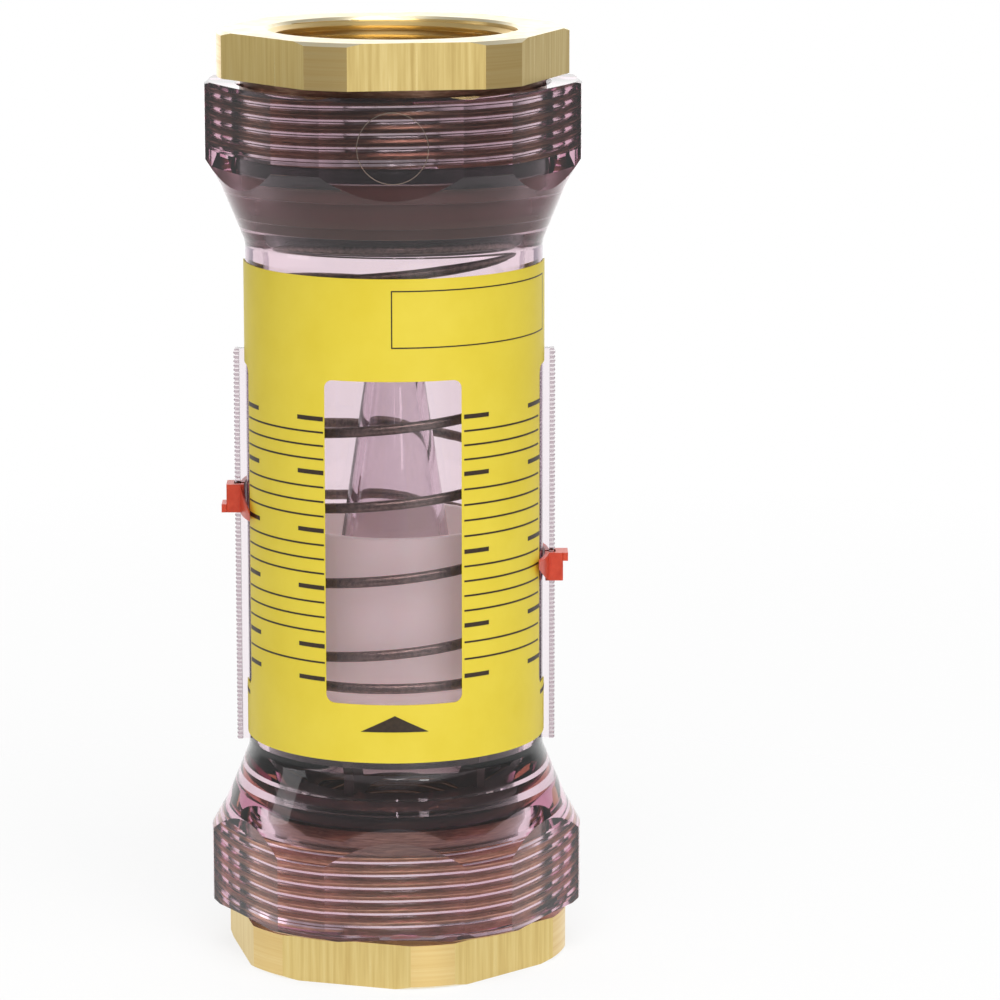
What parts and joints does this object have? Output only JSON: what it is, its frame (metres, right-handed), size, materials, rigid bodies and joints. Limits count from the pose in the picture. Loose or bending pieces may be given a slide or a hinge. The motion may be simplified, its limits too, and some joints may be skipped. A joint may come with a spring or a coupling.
{
  "type": "liquid flow meter",
  "caption": "In-line variable-area flow meter: clear housing, brass pipe ends, spring-loaded orifice piston on a metering cone, printed scale and clip-on pointers.",
  "frame": {"origin": "centre of the inlet fitting's end face", "axes": "+Z along the pipe axis in the flow direction, -Y towards the scale's front"},
  "size_m": [0.0906, 0.0842, 0.2264],
  "materials": {
    "brass": "brushed",
    "clear_body": "clear moulded",
    "clear_cone": "clear moulded",
    "seal_rubber": "matte",
    "inner_plastic": "matte",
    "piston_plastic": "satin",
    "stainless": "brushed",
    "spring_wire": "drawn wire",
    "label_film": "printed film",
    "pointer_plastic": "moulded"
  },
  "bodies": {
    "meter": {"housing": "clear_body", "scale_label": "label_film", "inlet_fitting": "brass", "outlet_fitting": "brass", "inlet_o_ring": "seal_rubber", "outlet_o_ring": "seal_rubber", "spider": "inner_plastic", "metering_cone": "clear_cone", "cone_plug": "inner_plastic", "cone_screw": "stainless", "cone_washer": "stainless", "spring_seat": "inner_plastic", "outlet_snap_ring": "stainless", "spring": "spring_wire"},
    "piston": {"piston": "piston_plastic", "orifice_plate": "stainless", "orifice_snap_ring": "stainless"},
    "left_pointer": {"left_pointer": "pointer_plastic"},
    "right_pointer": {"right_pointer": "pointer_plastic"}
  },
  "joints": [
    {"name": "piston_travel", "type": "slide", "parent": "meter", "child": "piston", "axis": [0, 0, 1], "range_m": [0, 0.07], "stiffness_N_per_m": 300, "springref_m": -0.02, "deforming": ["spring"]},
    {"name": "left_pointer_slide", "type": "slide", "parent": "meter", "child": "left_pointer", "axis": [0, 0, 1], "range_m": [-0.0565, 0.0325]},
    {"name": "right_pointer_slide", "type": "slide", "parent": "meter", "child": "right_pointer", "axis": [0, 0, 1], "range_m": [-0.039, 0.0497]}
  ]
}
